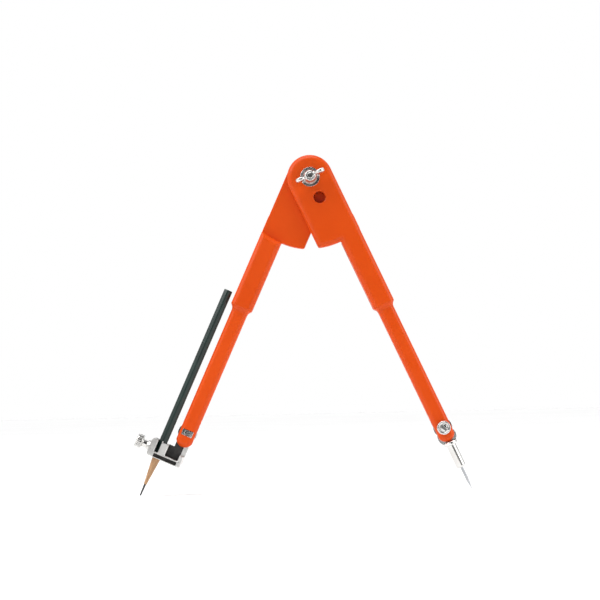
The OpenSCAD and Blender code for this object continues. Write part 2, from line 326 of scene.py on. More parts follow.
def carved(obj, *cutters, how="DIFFERENCE"):
    """obj with each cutter taken out of it, or with how="UNION" joined to it."""
    for cutter in cutters:
        change = obj.modifiers.new("carve", "BOOLEAN")
        change.operation = how
        change.solver = "EXACT"
        change.object = cutter
        bpy.context.view_layer.update()
        done = bpy.data.meshes.new_from_object(obj.evaluated_get(bpy.context.evaluated_depsgraph_get()))
        obj.modifiers.clear()
        obj.data = done
        bpy.data.objects.remove(cutter)
    return obj


def softened(points, radius, steps=4):
    """An open outline whose inner corners are rounded to about radius."""
    points = [Vector(p) for p in points]
    out = [points[0]]
    for before, corner, after in zip(points, points[1:], points[2:]):
        a, b = before - corner, after - corner
        reach = min(radius, 0.45 * a.length, 0.45 * b.length)
        p, q = corner + a.normalized() * reach, corner + b.normalized() * reach
        for i in range(steps + 1):
            t = i / steps
            out.append(p.lerp(corner, t).lerp(corner.lerp(q, t), t))
    return out + [points[-1]]


def turned(name, profile, segments=96, wave=None):
    """A solid turned about z from (radius, height) points that begin and end on the axis."""
    verts, faces, rings = [], [], []
    for r, h in profile:
        if r < 1e-6:
            rings.append([len(verts)])
            verts.append((0, 0, h))
            continue
        rings.append(range(len(verts), len(verts) + segments))
        for i in range(segments):
            a = 2 * math.pi * i / segments
            radius = r if wave is None else wave(r, h, a)
            verts.append((radius * math.cos(a), radius * math.sin(a), h))
    for low, high in zip(rings, rings[1:]):
        for i in range(segments):
            j = (i + 1) % segments
            if len(low) == 1:
                faces.append((low[0], high[j], high[i]))
            elif len(high) == 1:
                faces.append((low[i], low[j], high[0]))
            else:
                faces.append((low[i], low[j], high[j], high[i]))
    return outward(mesh_object(name, verts, faces))


def ring(name, outer, inner, low, high, soft=0.15, segments=96):
    """A washer about z with softened edges."""
    middle = (low + high) / 2
    outline = [(inner, middle), (inner, high), (outer, high), (outer, low), (inner, low),
               (inner, middle)]
    outline = softened(outline, soft, 3)[:-1]
    verts = [(r * math.cos(a), r * math.sin(a), h)
             for r, h in outline for a in np.linspace(0, 2 * math.pi, segments, endpoint=False)]
    n = len(outline)
    faces = [(i * segments + k, ((i + 1) % n) * segments + k,
              ((i + 1) % n) * segments + (k + 1) % segments, i * segments + (k + 1) % segments)
             for i in range(n) for k in range(segments)]
    return outward(mesh_object(name, verts, faces))


def outward(obj):
    """Turns every face of a closed mesh to the outside."""
    bm = bmesh.new()
    bm.from_mesh(obj.data)
    bmesh.ops.recalc_face_normals(bm, faces=bm.faces)
    bm.to_mesh(obj.data)
    bm.free()
    return obj


def slab(name, outline, low, high, soft=0.0):
    """A flat plate: an (x, z) outline through y from low to high, its edges beveled by soft."""
    n = len(outline)
    verts = [(x, y, z) for y in (low, high) for x, z in outline]
    faces = [tuple(range(n)), tuple(range(2 * n - 1, n - 1, -1))]
    faces += [(i, n + i, n + (i + 1) % n, (i + 1) % n) for i in range(n)]
    obj = outward(mesh_object(name, verts, faces))
    if soft:
        bm = bmesh.new()
        bm.from_mesh(obj.data)
        rims = [e for e in bm.edges if abs(e.verts[0].co.y - e.verts[1].co.y) < 1e-6]
        bmesh.ops.bevel(bm, geom=rims, offset=soft, segments=3, affect="EDGES", profile=0.5)
        bm.to_mesh(obj.data)
        bm.free()
    return obj


def block(name, low, high, soft=0.0, segments=3):
    """A box between two corners with rounded edges."""
    bm = bmesh.new()
    bmesh.ops.create_cube(bm, size=1)
    low, high = Vector(low), Vector(high)
    for v in bm.verts:
        v.co = Vector([low[i] if v.co[i] < 0 else high[i] for i in range(3)])
    if soft:
        bmesh.ops.bevel(bm, geom=list(bm.edges), offset=soft, segments=segments,
                        affect="EDGES", profile=0.5)
    mesh = bpy.data.meshes.new(name)
    bm.to_mesh(mesh)
    bm.free()
    obj = bpy.data.objects.new(name, mesh)
    bpy.context.scene.collection.objects.link(obj)
    return obj


def arc(cx, cz, r, start, end, steps):
    """Points on a circle from one angle to another, in degrees."""
    return [(cx + r * math.cos(math.radians(a)), cz + r * math.sin(math.radians(a)))
            for a in np.linspace(start, end, steps)]


def thread(name, radius, pitch, low, high, depth=None, segments=48):
    """A threaded rod about z with a chamfered end at high."""
    depth = depth or 0.54 * pitch
    rows = int((high - low) / (pitch / 8)) + 1

    def wave(r, h, a):
        if r < radius - 1e-6:
            return r
        turn = (h / pitch - a / (2 * math.pi)) % 1
        cut = depth * min(1.0, 1.7 * abs(2 * turn - 1))
        return min(radius - depth + cut, radius - 0.9 * max(0.0, h - high + 0.8 * pitch))

    side = [(radius, h) for h in np.linspace(low, high, rows)]
    profile = [(0, low)] + side + [(radius - depth, high + 0.001), (0, high + 0.001)]
    return turned(name, profile, segments, wave)


def finish_piece(obj, side, body, nodes, looks, sharp=35.0):
    """Puts a finished piece in place: metres, shading, materials and body."""
    obj.data.transform(side @ Matrix.Scale(MM, 4))
    faces = obj.data.polygons
    slots = [min(face.material_index, len(looks) - 1) for face in faces]
    obj.data.materials.clear()
    for look in looks:
        obj.data.materials.append(look)
    faces.foreach_set("material_index", slots)
    obj.data.shade_smooth()
    obj.data.set_sharp_from_angle(angle=math.radians(sharp))
    fair = obj.modifiers.new("fair_normals", "WEIGHTED_NORMAL")
    fair.keep_sharp = True
    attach(obj, body)
    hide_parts(*nodes)
    return obj


# ---------------------------------------------------------------- implicit shapes
def surface(name, field, low, high, step):
    """A quad mesh on the zero surface of field(x, y, z), which is negative inside."""
    axes = [np.arange(a, b + step, step) for a, b in zip(low, high)]
    values = field(*np.meshgrid(*axes, indexing="ij"))
    inside = values < 0
    shape = np.array(values.shape) - 1
    corners = np.array(list(itertools.product((0, 1), repeat=3)))

    def at(array, c):
        return array[tuple(slice(o, o + n) for o, n in zip(c, shape))]

    count = sum(at(inside, c).astype(np.int8) for c in corners)
    active = (count > 0) & (count < 8)
    cells = np.argwhere(active)
    number = np.full(active.shape, -1)
    number[active] = np.arange(len(cells))
    seen = np.stack([values[tuple((cells + c).T)] for c in corners], 1)
    where, crossings = np.zeros((len(cells), 3)), np.zeros(len(cells))
    for i, j in itertools.combinations(range(8), 2):
        if abs(corners[i] - corners[j]).sum() != 1:
            continue
        cross = (seen[:, i] < 0) != (seen[:, j] < 0)
        share = seen[:, i] / np.where(cross, seen[:, i] - seen[:, j], 1)
        where += np.where(cross[:, None], corners[i] + share[:, None] * (corners[j] - corners[i]), 0)
        crossings += cross
    points = np.array(low) + step * (cells + where / crossings[:, None])
    faces = []
    for a in range(3):
        b, c = (a + 1) % 3, (a + 2) % 3
        first = np.take(inside, range(inside.shape[a] - 1), a)
        second = np.take(inside, range(1, inside.shape[a]), a)
        for solid_first in (True, False):
            edge = np.argwhere((first != second) & (first == solid_first))
            ok = (edge[:, b] > 0) & (edge[:, c] > 0) & (edge[:, b] < shape[b]) & (edge[:, c] < shape[c])
            edge = edge[ok]
            around = []
            for back_b, back_c in ((1, 1), (0, 1), (0, 0), (1, 0)):
                cell = edge.copy()
                cell[:, b] -= back_b
                cell[:, c] -= back_c
                around.append(number[tuple(cell.T)])
            quads = np.stack(around, 1)
            faces.append(quads if solid_first else quads[:, ::-1])
    faces = np.concatenate(faces)
    points = settled(field, points, faces, step)
    return mesh_object(name, points, faces)


def settled(field, points, faces, step, rounds=3):
    """Evens out the points along the surface and drops each exactly onto it."""
    ends = np.concatenate([faces, np.roll(faces, -1, 1)], 1).reshape(len(faces), 2, 4)
    a, b = ends[:, 0].ravel(), ends[:, 1].ravel()
    point, neighbour = np.concatenate([a, b]), np.concatenate([b, a])
    degree = np.bincount(point, minlength=len(points))
    probe = 0.1 * step
    for _ in range(rounds):
        total = np.zeros_like(points)
        for k in range(3):
            total[:, k] = np.bincount(point, points[neighbour, k], len(points))
        points = 0.6 * points + 0.4 * total / degree[:, None]
        for _ in range(3):
            value = field(*points.T)
            slope = np.stack([(field(*(points + s).T) - field(*(points - s).T)) / (2 * probe)
                              for s in probe * np.eye(3)], 1)
            move = (value / np.maximum((slope ** 2).sum(1), 1e-4))[:, None] * slope
            length = np.linalg.norm(move, axis=1, keepdims=True)
            points = points - move * np.minimum(1, 0.5 * step / np.maximum(length, 1e-9))
    return points


def both(a, b, soft=0.0):
    """Intersection of two implicit shapes, its edge softened."""
    if not soft:
        return np.maximum(a, b)
    h = np.clip(0.5 - 0.5 * (b - a) / soft, 0, 1)
    return b * (1 - h) + a * h + soft * h * (1 - h)


def either(a, b, soft=0.0):
    """Union of two implicit shapes, its corner filled softly."""
    return -both(-a, -b, soft)


def padded(outline, depth, wide, deep, power):
    """A shape from its outline's and its depth's distances, with beveled rims."""
    p = np.maximum(outline / wide + 1, 0)
    q = np.maximum(depth / deep + 1, 0)
    return ((p ** power + q ** power) ** (1 / power) - 1) * np.minimum(wide, deep)


def rounded_box(x, y, z, low, high, r):
    """The distance to a box between two corners, its edges rounded to r."""
    half = [(b - a) / 2 - r for a, b in zip(low, high)]
    q = [np.abs(p - (a + b) / 2) - h for p, a, b, h in zip((x, y, z), low, high, half)]
    out = np.sqrt(sum(np.maximum(v, 0) ** 2 for v in q))
    return out + np.minimum(np.maximum(np.maximum(q[0], q[1]), q[2]), 0) - r


# ---------------------------------------------------------------- the arms
BEVEL_W, BEVEL_T = 4.0, 3.2
LEG_BEVEL = 3.4
BAR_TOP = 44
SEAM = 2.5


def arm_field(x, y, z):
    """One moulded arm: half-thickness head plate, thick sleeve, slim leg with a round end."""
    u = -z
    reach = np.hypot(x, u)
    lip = 1.4
    t = np.clip((u - SLEEVE_END) / SHOULDER, 0, 1)
    rim = np.clip((u - SLEEVE_END + lip) / lip, 0, 1)
    share = np.where(u < SLEEVE_END, 1 - 0.3 * rim ** 2, 0.7 * (1 - t) ** 2.6)
    half_w = (LEG_W + share * (SLEEVE_W - LEG_W)) / 2
    half_t = LEG_T / 2 + share * (FACE - LEG_T / 2)
    wide = LEG_BEVEL + share * (BEVEL_W - LEG_BEVEL)
    deep = LEG_BEVEL + share * (BEVEL_T - LEG_BEVEL)

    tomb = np.where(u < 0, reach, np.abs(x)) - HEAD_R
    plate = both(tomb, reach - PLATE_R, 1.2)
    bar = np.abs(x - LEG_AXIS) - half_w
    end_u = LEG_END - END_R
    end = np.where(u > end_u, np.hypot(x - LEG_AXIS, u - end_u) - END_R, -9.0)
    bar = both(np.maximum(bar, end), BAR_TOP - u)
    front = either(plate, bar, 1.0)
    rear = both(bar, SWING_R - reach, 0.8)

    front = np.maximum(padded(front, -y - half_t, wide, deep, 1.45), y + LAP)
    rear = np.maximum(padded(rear, y - half_t, wide, deep, 1.45), -SEAM - y)
    return either(front, rear)


def along_y(obj, x=0.0, u=0.0, y=0.0):
    """Turns a piece made about z so that its +z points out of the arm's plate side, -y."""
    return moved(obj, Matrix.Translation((x, y, -u)) @ Matrix.Rotation(math.pi / 2, 4, "X"))


def arm_cutters():
    """What is cut out of a moulded arm: hang hole, bores, slot and nut pocket."""
    flare = 1.1
    curve = [(HANG_R + flare * (1 - math.sin(a)), FACE - flare * (1 - math.cos(a)))
             for a in np.linspace(0, math.pi / 2, 7)]
    hang = [(0, FACE + 2), (HANG_R + flare, FACE + 2)] + curve + [(HANG_R, -2), (0, -2)]
    bore = [(0, FACE + 2), (BOLT_R + 0.1, FACE + 2), (BOLT_R + 0.1, -2), (0, -2)]
    past = 9
    hole = [(0, past), (SCREW_R + 0.1, past), (SCREW_R + 0.1, -past), (0, -past)]
    gap = 0.12
    w, h = (NUT_HIGH[0] - NUT_LOW[0]) / 2 + gap, (NUT_HIGH[2] - NUT_LOW[2]) / 2 + gap
    low, high = (LEG_AXIS - w, NUT_LOW[1], -HINGE_U - h), (LEG_AXIS + w, past, h - HINGE_U)
    pocket = block("pocket", low, high, 0.35)
    reach = 12
    low, high = (LEG_AXIS - reach, -SLOT_T / 2, -LEG_END - 4), (LEG_AXIS + reach, SLOT_T / 2, -SLOT_TOP)
    slot = block("slot", low, high)
    return [along_y(turned("hang", hang, 72), u=HANG_U), along_y(turned("bore", bore, 48)),
            slot, along_y(turned("hole", hole, 48), LEG_AXIS, HINGE_U), pocket]


def build_arms():
    """Both arms from one moulding, each turned to its own side."""
    step, margin = 0.8, 1.1
    low, high = ARM_LOW - margin, ARM_HIGH + margin
    first = carved(surface("moulded_needle_arm", arm_field, low, high, step), *arm_cutters())
    second = bpy.data.objects.new("moulded_pencil_arm", first.data.copy())
    bpy.context.scene.collection.objects.link(second)
    finish_piece(first, NEEDLE_SIDE, "needle_arm", ["needle_arm"], [ORANGE])
    finish_piece(second, PENCIL_SIDE, "pencil_arm", ["pencil_arm"], [ORANGE])


# ---------------------------------------------------------------- the pivot
def build_pivot():
    """Bolt, washers, friction disc and wing nut on the head's axis."""
    names = ("front_washer", "lock_washer", "rear_washer", "friction_disc", "pivot_bolt")
    boxes = {name: own_box(name, HEAD) for name in names}

    def washer(node, body, slot, look, name):
        low, high = boxes[node]
        obj = ring(name, high[0], BOLT_R + 0.06, -high[1], -low[1], 0.18)
        finish_piece(along_y(obj), HEAD, body, [node], [look])

    washer("front_washer", "pivot_washers", "nickel", PLATED, "plain_front_washer")
    washer("rear_washer", "pencil_arm", "nickel", PLATED, "plain_rear_washer")
    washer("friction_disc", "pencil_arm", "fibre", FIBRE, "fibre_disc")

    low, high = boxes["lock_washer"]
    spring = split_ring("split_washer", high[2], BOLT_R + 0.1, -high[1], -low[1])
    finish_piece(along_y(spring), HEAD, "pivot_washers", ["lock_washer"], [STEEL])

    low, high = boxes["pivot_bolt"]
    washer_back = boxes["rear_washer"][1][1]
    across = high[2]

    def hexagon(r, h, a):
        flat = across / math.cos((a + math.pi / 6) % (math.pi / 3) - math.pi / 6)
        return min(r, flat)

    corner = across / math.cos(math.pi / 6)
    head = [(0, 0), (across - 0.1, 0), (across + 0.2, 0.25), (corner, 0.4), (corner, 2.9)]
    head += [(across + 0.15, 3.35), (across - 0.35, high[1] - washer_back), (0, high[1] - washer_back)]
    hexhead = turned("hex", head, 144, hexagon)
    onto_washer = Matrix.Translation((0, washer_back, 0)) @ Matrix.Rotation(-math.pi / 2, 4, "X")
    hexhead = moved(hexhead, onto_washer)
    rod = along_y(thread("rod", BOLT_R, BOLT_PITCH, -washer_back, -low[1] - 0.001))
    bolt = joined("hex_pivot_bolt", hexhead, rod)
    finish_piece(bolt, HEAD, "pencil_arm", ["pivot_bolt"], [PLATED], 28)
    build_wing_nut()


def split_ring(name, outer, inner, low, high):
    """A spring washer: a square wire wound once, its cut ends a little apart in height."""
    steps, lift, thinned = 90, 0.12, 0.88
    cut_at, wound = 98, 350
    middle = (low + high) / 2
    verts, faces = [], []
    for i in range(steps):
        share = i / (steps - 1)
        a = math.radians(cut_at + wound * share)
        rise = lift * (share - 0.5)
        for r, h in ((inner, low), (outer, low), (outer, high), (inner, high)):
            h = middle + (h - middle) * thinned + rise
            verts.append((r * math.cos(a), r * math.sin(a), h))
    for i in range(steps - 1):
        for k in range(4):
            j = (k + 1) % 4
            faces.append((4 * i + k, 4 * i + j, 4 * i + 4 + j, 4 * i + 4 + k))
    faces += [(3, 2, 1, 0), tuple(4 * (steps - 1) + k for k in range(4))]
    return outward(mesh_object(name, verts, faces))


def build_wing_nut():
    """A cast nut: a tapering hub with two round-lobed wings, turned a little on its bolt."""
    base = -WING_HIGH[1]
    top = -WING_LOW[1]
    turn = math.radians(23)
    span = 12.6
    hub_t, hub_r, hub_top = 6.5, 6.2, 4.3
    wing_half = 1.4
    lobe = 3.9
    lobe_h = top - base - lobe - 0.3
    foot_x, foot_h, foot_r = 3.2, 2.6, 2.3

    def field(x, y, z):
        h = y - base
        r = np.hypot(x, z)
        cone = (r - (hub_r + (hub_top - hub_r) * h / hub_t)) * 0.98
        hub = both(cone, np.maximum(h - hub_t, -h), 0.7)
        side = np.abs(x)
        tip = np.hypot(side - (span - lobe), h - lobe_h) - lobe
        # the web from the hub's foot up to the lobe, as a tapering capsule
        out, up = span - lobe - foot_x, lobe_h - foot_h
        s = np.clip(((side - foot_x) * out + (h - foot_h) * up) / (out ** 2 + up ** 2), 0, 1)
        web = np.hypot(side - foot_x - s * out, h - foot_h - s * up) - (foot_r + s * 1.2)
        outline = either(tip, web, 1.5)
        half = wing_half + 0.35 * np.clip((side - 5) / 6, 0, 1)
        wing = padded(outline, np.abs(z) - half, 1.1, 1.1, 2.0)
        nut = either(hub, wing, 1.3)
        return both(nut, (BOLT_R + 0.12) - r, 0.35)

    low = (-span - 0.6, base - 0.6, -hub_r - 0.8)
    high = (span + 0.6, top + 0.6, hub_r + 0.8)
    nut = surface("cast_wing_nut", field, low, high, 0.26)
    nut = moved(nut, Matrix.Rotation(-turn, 4, "Y") @ Matrix.Rotation(math.pi, 4, "Z"))
    finish_piece(nut, HEAD, "wing_nut", ["wing_nut"], [CAST], 60)


# ---------------------------------------------------------------- thumb screws and plate nuts
def knurl(radius, count, depth, band=0.42, steepness=2.4):
    """A wave that presses count notches into what lies within band of the given radius."""
    def wave(r, h, a):
        if r < radius - band:
            return r
        phase = abs((a * count / (2 * math.pi)) % 1 - 0.5) * 2
        return r - depth * max(0.0, 1 - steepness * phase)
    return wave


def thumb_screw(name, radius, tall, rod_end, teeth=30):
    """A knurled head from z = 0 up, with a sunk face and slotted boss, on a threaded rod going down."""
    sunk, boss, slot_half = 0.55, 2.7, 1.0
    side = [(radius, h) for h in np.linspace(0.5, tall - 0.6, 4)]
    profile = [(0, 0), (radius - 0.5, 0)] + side + [(radius - 0.55, tall), (radius - 1.5, tall)]
    profile += [(radius - 1.9, tall - sunk), (boss + 0.25, tall - sunk), (boss, tall - 0.25)]
    profile += [(boss - 0.3, tall - 0.02), (0, tall - 0.02)]
    head = turned(name + "_head", softened(profile, 0.2, 2), teeth * 8, knurl(radius, teeth, 0.32))
    low, high = (-slot_half, -boss - 0.2, tall - 1.3), (slot_half, boss + 0.2, tall + 1)
    slot = block(name + "_slot", low, high)
    head = carved(head, moved(slot, Matrix.Rotation(math.radians(17), 4, "Z")))
    rod = thread(name + "_rod", SCREW_R, SCREW_PITCH, 0, rod_end)
    rod = moved(rod, Matrix.Rotation(math.pi, 4, "X"))
    return joined(name, head, rod)


def plate_nut(name):
    """A rectangular nut, flared at its hole, for the pocket opposite the head of the screw."""
    w, h = (NUT_HIGH[0] - NUT_LOW[0]) / 2, (NUT_HIGH[2] - NUT_LOW[2]) / 2
    low = (LEG_AXIS - w, NUT_LOW[1], -HINGE_U - h)
    high = (LEG_AXIS + w, NUT_HIGH[1], h - HINGE_U)
    body = block(name, low, high, 0.25)
    flare = 0.5
    top = NUT_HIGH[1]
    hole = [(0, top + 1), (SCREW_R + flare + 0.1, top + 1), (SCREW_R + flare + 0.1, top)]
    hole += [(SCREW_R + 0.1, top - flare), (SCREW_R + 0.1, 0), (0, 0)]
    cutter = moved(turned(name + "_hole", hole, 48), Matrix.Rotation(-math.pi / 2, 4, "X"))
    return carved(body, moved(cutter, Matrix.Translation((LEG_AXIS, 0, -HINGE_U))))


def build_leg_hardware():
    """The thumb screw, its washer and its plate nut on each leg."""
    under = LEG_T / 2 + 0.8
    radius, tall = KNOB_HIGH[0] - LEG_AXIS, -KNOB_LOW[1] - under
    rod_end = under + KNOB_HIGH[1] - 0.01
    washer_r = 4.9
    for who, side, arm in (("needle", NEEDLE_SIDE, "needle_arm"), ("pencil", PENCIL_SIDE, "pencil_arm")):
        screw = thumb_screw(who + "_knob", radius, tall, rod_end)
        screw = along_y(screw, LEG_AXIS, HINGE_U, -under)
        finish_piece(screw, side, who + "_screw", [who + "_thumb_screw"], [PLATED], 30)
        washer = ring(who + "_foot_ring", washer_r, SCREW_R + 0.06, LEG_T / 2, under, 0.12)
        washer = along_y(washer, LEG_AXIS, HINGE_U)
        finish_piece(washer, side, who + "_screw_washer", [who + "_washer"], [STEEL])
        finish_piece(plate_nut(who + "_plate_nut"), side, arm, [who + "_nut"], [PLATED], 30)


# ---------------------------------------------------------------- needle foot
def tongue(name, half_w, end_u):
    """The eye plate by which the holder tilts in the leg's slot, waisted over round cheeks."""
    meet = math.degrees(math.asin(half_w / EYE_R))
    outline = arc(LEG_AXIS, -HINGE_U, EYE_R, -90 + meet, 270 - meet, 60)
    outline += arc(LEG_AXIS, -CHEEK_U, EYE_R, 90 + meet, 270 - meet, 24)
    outline += [(LEG_AXIS - half_w, -end_u), (LEG_AXIS + half_w, -end_u)]
    outline += arc(LEG_AXIS, -CHEEK_U, EYE_R, meet - 90, 90 - meet, 24)
    plate = slab(name, outline, -TONGUE_T / 2, TONGUE_T / 2, 0.25)
    hole = turned(name + "_hole", [(0, 3), (SCREW_R + 0.1, 3), (SCREW_R + 0.1, -3), (0, -3)], 48)
    return carved(plate, along_y(hole, LEG_AXIS, HINGE_U))


def build_needle_foot():
    """The turned holder with its eye plate, and the ground needle in its end."""
    top, end = LEG_END + 0.3, -HOLDER_LOW[2]
    seat = end - 6
    collar_end = top + 3.2
    collar_r, barrel_r, shank_r = HOLDER_HIGH[1], 4.1, 1.7
    needle_r = 1.25
    to_axis = Matrix.Translation((LEG_AXIS, 0, 0))

    def u(points):
        return [(r, -at) for r, at in points]

    body = u([(0, top), (collar_r - 0.7, top), (collar_r, top + 0.7), (collar_r, collar_end - 0.6),
              (collar_r - 0.7, collar_end), (barrel_r + 0.25, collar_end),
              (barrel_r, collar_end + 0.3), (barrel_r, end - 1.3), (barrel_r - 1.1, end),
              (shank_r, end), (shank_r, seat), (0, seat)])
    turned_part = moved(turned("barrel", softened(body, 0.25, 3), 96), to_axis)
    plate = tongue("needle_eye", NECK_HALF, top + 1.5)
    holder = joined("turned_needle_holder", turned_part, plate)
    finish_piece(holder, NEEDLE_SIDE, "needle_foot", ["needle_holder"], [PLATED])

    tip, cone = -NEEDLE_LOW[2], -NEEDLE_LOW[2] - 7.9
    pin = u([(0, seat), (shank_r - 0.02, seat), (shank_r - 0.02, end - 0.35),
             (shank_r - 0.3, end + 0.05), (needle_r, end + 0.1), (needle_r, cone),
             (0.75 * needle_r, cone + 2.2), (0.38 * needle_r, tip - 2.6),
             (0.12, tip - 0.15), (0, tip)])
    needle = moved(turned("ground_needle", softened(pin, 0.6, 3), 48), to_axis)
    finish_piece(needle, NEEDLE_SIDE, "needle_foot", ["needle"], [STEEL], 40)


# ---------------------------------------------------------------- pencil foot
FLANGE_IN, FLANGE_OUT = 4.5, 8.3
WALL_IN, BOX_IN, BOX_OUT, BLOCK_OUT = 19.8, 21.9, 29.5, 34.8
BOX_TOP, FLOOR_U = LEG_END + 1.5, LEG_END + 12.1
BOX_HALF = 4.45
LIP = 26.1
BOSS_R, BOSS_TAPER, BOSS_T = 4.7, 0.42, 2.6
PAD_HOLE_R, PAD_ROOM = 2.4, 2.5
PENCIL_HOLE_R = 4.35


def bracket_field(x, y, z):
    """The cast bracket: eye plate, floor, flange and the box round the pencil, open in front."""
    u = -z
    low_u, half = -BRACKET_LOW[2], BRACKET_HIGH[1]

    def part(x0, x1, y0, y1, u0, u1, r=0.6):
        return rounded_box(x, y, u, (x0, y0, u0), (x1, y1, u1), r)

    shell = part(WALL_IN, BLOCK_OUT, -half, half, BOX_TOP, low_u, 0.9)
    corner = 2.6
    across = np.maximum(x - (BLOCK_OUT - corner), 0)
    along = np.maximum(np.abs(u - (BOX_TOP + low_u) / 2) - ((low_u - BOX_TOP) / 2 - corner), 0)
    shell = both(shell, np.hypot(across, along) - corner, 0.4)
    lowered = part(WALL_IN - 3, BOX_IN + 3.4, -half - 2, half + 2,
                   BOX_TOP - 8, BOX_TOP + 1.2, 0.3)
    shell = both(shell, -lowered, 0.5)
    clamp_r = np.hypot(y, u - CLAMP_U)
    past = x - BLOCK_OUT
    cone = (clamp_r - (BOSS_R - BOSS_TAPER * past)) * 0.92
    boss = both(cone, np.maximum(past - BOSS_T, -past - 1), 0.5)
    shell = either(shell, boss, 0.8)
    inside = part(BOX_IN, BOX_OUT, -BOX_HALF, BOX_HALF, BOX_TOP - 9, FLOOR_U, 0.5)
    window = part(LIP, BOX_OUT, 0, half + 4, BOX_TOP - 9, FLOOR_U, 0.4)
    shell = both(shell, -either(inside, window), 0.45)
    pencil_hole = np.hypot(x - PENCIL_X, y) - PENCIL_HOLE_R
    shell = both(shell, -pencil_hole, 0.4)
    shell = both(shell, -both(clamp_r - PAD_HOLE_R, x - BOX_OUT - PAD_ROOM), 0.3)
    shell = both(shell, -both(clamp_r - SCREW_R - 0.06, BOX_OUT - 1 - x), 0.2)

    floor = part(FLANGE_IN, WALL_IN + 2, -half, half, FLOOR_U, low_u)
    web = part(FLANGE_IN, WALL_IN + 2, -TONGUE_T / 2, TONGUE_T / 2,
               BOX_TOP + 0.5, FLOOR_U + 2, 0.35)
    back = part(FLANGE_IN, WALL_IN + 2, -half, 2.4 - half, BOX_TOP + 3.5, FLOOR_U + 2)
    flange = part(FLANGE_IN, FLANGE_OUT, -half, half, FLOOR_U - 5, low_u)
    body = either(shell, floor, 0.6)
    groove = part(FLANGE_OUT, BOX_OUT - 0.6, half - 2, half + 4,
                  FLOOR_U + 1.2, low_u - 0.8, 0.35)
    body = both(body, -groove, 0.3)
    for piece in (flange, web, back):
        body = either(body, piece, 0.5)
    hinge_r = np.hypot(x - LEG_AXIS, u - HINGE_U)
    length = np.maximum(HINGE_U - u, u - FLOOR_U - 1)
    neck = np.maximum(np.abs(x - LEG_AXIS) - NECK_HALF, length)
    plate = either(hinge_r - EYE_R, neck, 0.5)
    plate = padded(plate, np.abs(y) - TONGUE_T / 2, 0.35, 0.35, 2.0)
    plate = both(plate, SCREW_R + 0.08 - hinge_r, 0.15)
    return either(body, plate)


def in_shaded_hollow(x, y, u):
    """Whether a point of the bracket's surface lies in its pocket, its box or its floor's groove, where
    shade is painted.
    """
    half, low_u = BRACKET_HIGH[1], -BRACKET_LOW[2]
    pocket = FLANGE_OUT - 0.2 < x < WALL_IN + 0.1 and abs(y) < half - 0.7 and u < FLOOR_U
    box = (BOX_IN - 0.2 < x < BOX_OUT + 0.1 and abs(y) < BOX_HALF + 0.1 and y < half - 1.2
           and BOX_TOP + 0.6 < u < FLOOR_U)
    groove = (FLANGE_OUT < x < BOX_OUT - 0.6 and half - 2.2 < y < half - 0.4
              and FLOOR_U + 1 < u < low_u - 0.6)
    return pocket or box or groove


def build_pencil_foot():
    """The cast bracket, and the clamp screw with the pad on its end."""
    low, high = BRACKET_LOW - 0.8, BRACKET_HIGH + 0.8
    bracket = surface("cast_pencil_bracket", bracket_field, low, high, 0.3)
    # Faces in the hollows take the second material, near-black painted shade for the recesses.
    for face in bracket.data.polygons:
        x, y, z = face.center
        face.material_index = 1 if in_shaded_hollow(x, y, -z) else 0
    finish_piece(bracket, PENCIL_SIDE, "pencil_foot", ["pencil_bracket"], [CAST, RECESS_SHADE], 50)

    outward_turn = Matrix.Rotation(math.pi / 2, 4, "Y")
    pad_r = PAD_HIGH[1]
    tall = PAD_HIGH[0] - PAD_LOW[0]
    outline = softened([(0, 0), (pad_r, 0), (pad_r, tall), (0, tall)], 0.25, 3)
    pad = moved(turned("swivel_pad_disc", outline, 64), outward_turn)
    pad = moved(pad, Matrix.Translation((PAD_LOW[0], 0, -CLAMP_U)))
    finish_piece(pad, PENCIL_SIDE, "clamp_pad", ["clamp_pad"], [STEEL])

    start, end = CLAMP_LOW[0], CLAMP_HIGH[0] - CLAMP_LOW[0]
    clear, grip_t, neck_r, teeth = 0.4, 5.6, 3.2, 30
    neck = BLOCK_OUT + BOSS_T + clear - start
    grip = end - grip_t
    r = CLAMP_HIGH[1]
    profile = [(0, neck - 0.5), (neck_r - 0.2, neck - 0.5), (neck_r, neck)]
    profile += [(neck_r, grip - 0.6), (neck_r + 0.4, grip), (r - 0.6, grip)]
    profile += [(r, h) for h in np.linspace(grip + 0.6, end - 0.7, 4)]
    profile += [(r - 0.6, end), (r - 1.9, end), (r - 2.3, end - 0.4), (0, end - 0.4)]
    head = turned("grip", softened(profile, 0.25, 2), teeth * 8, knurl(r, teeth, 0.34))
    rod = thread("clamp_rod", SCREW_R, SCREW_PITCH, 0, neck)
    screw = moved(joined("knurled_clamp_screw", head, rod), outward_turn)
    screw = moved(screw, Matrix.Translation((start, 0, -CLAMP_U)))
    finish_piece(screw, PENCIL_SIDE, "clamp_screw", ["clamp_screw"], [PLATED], 30)


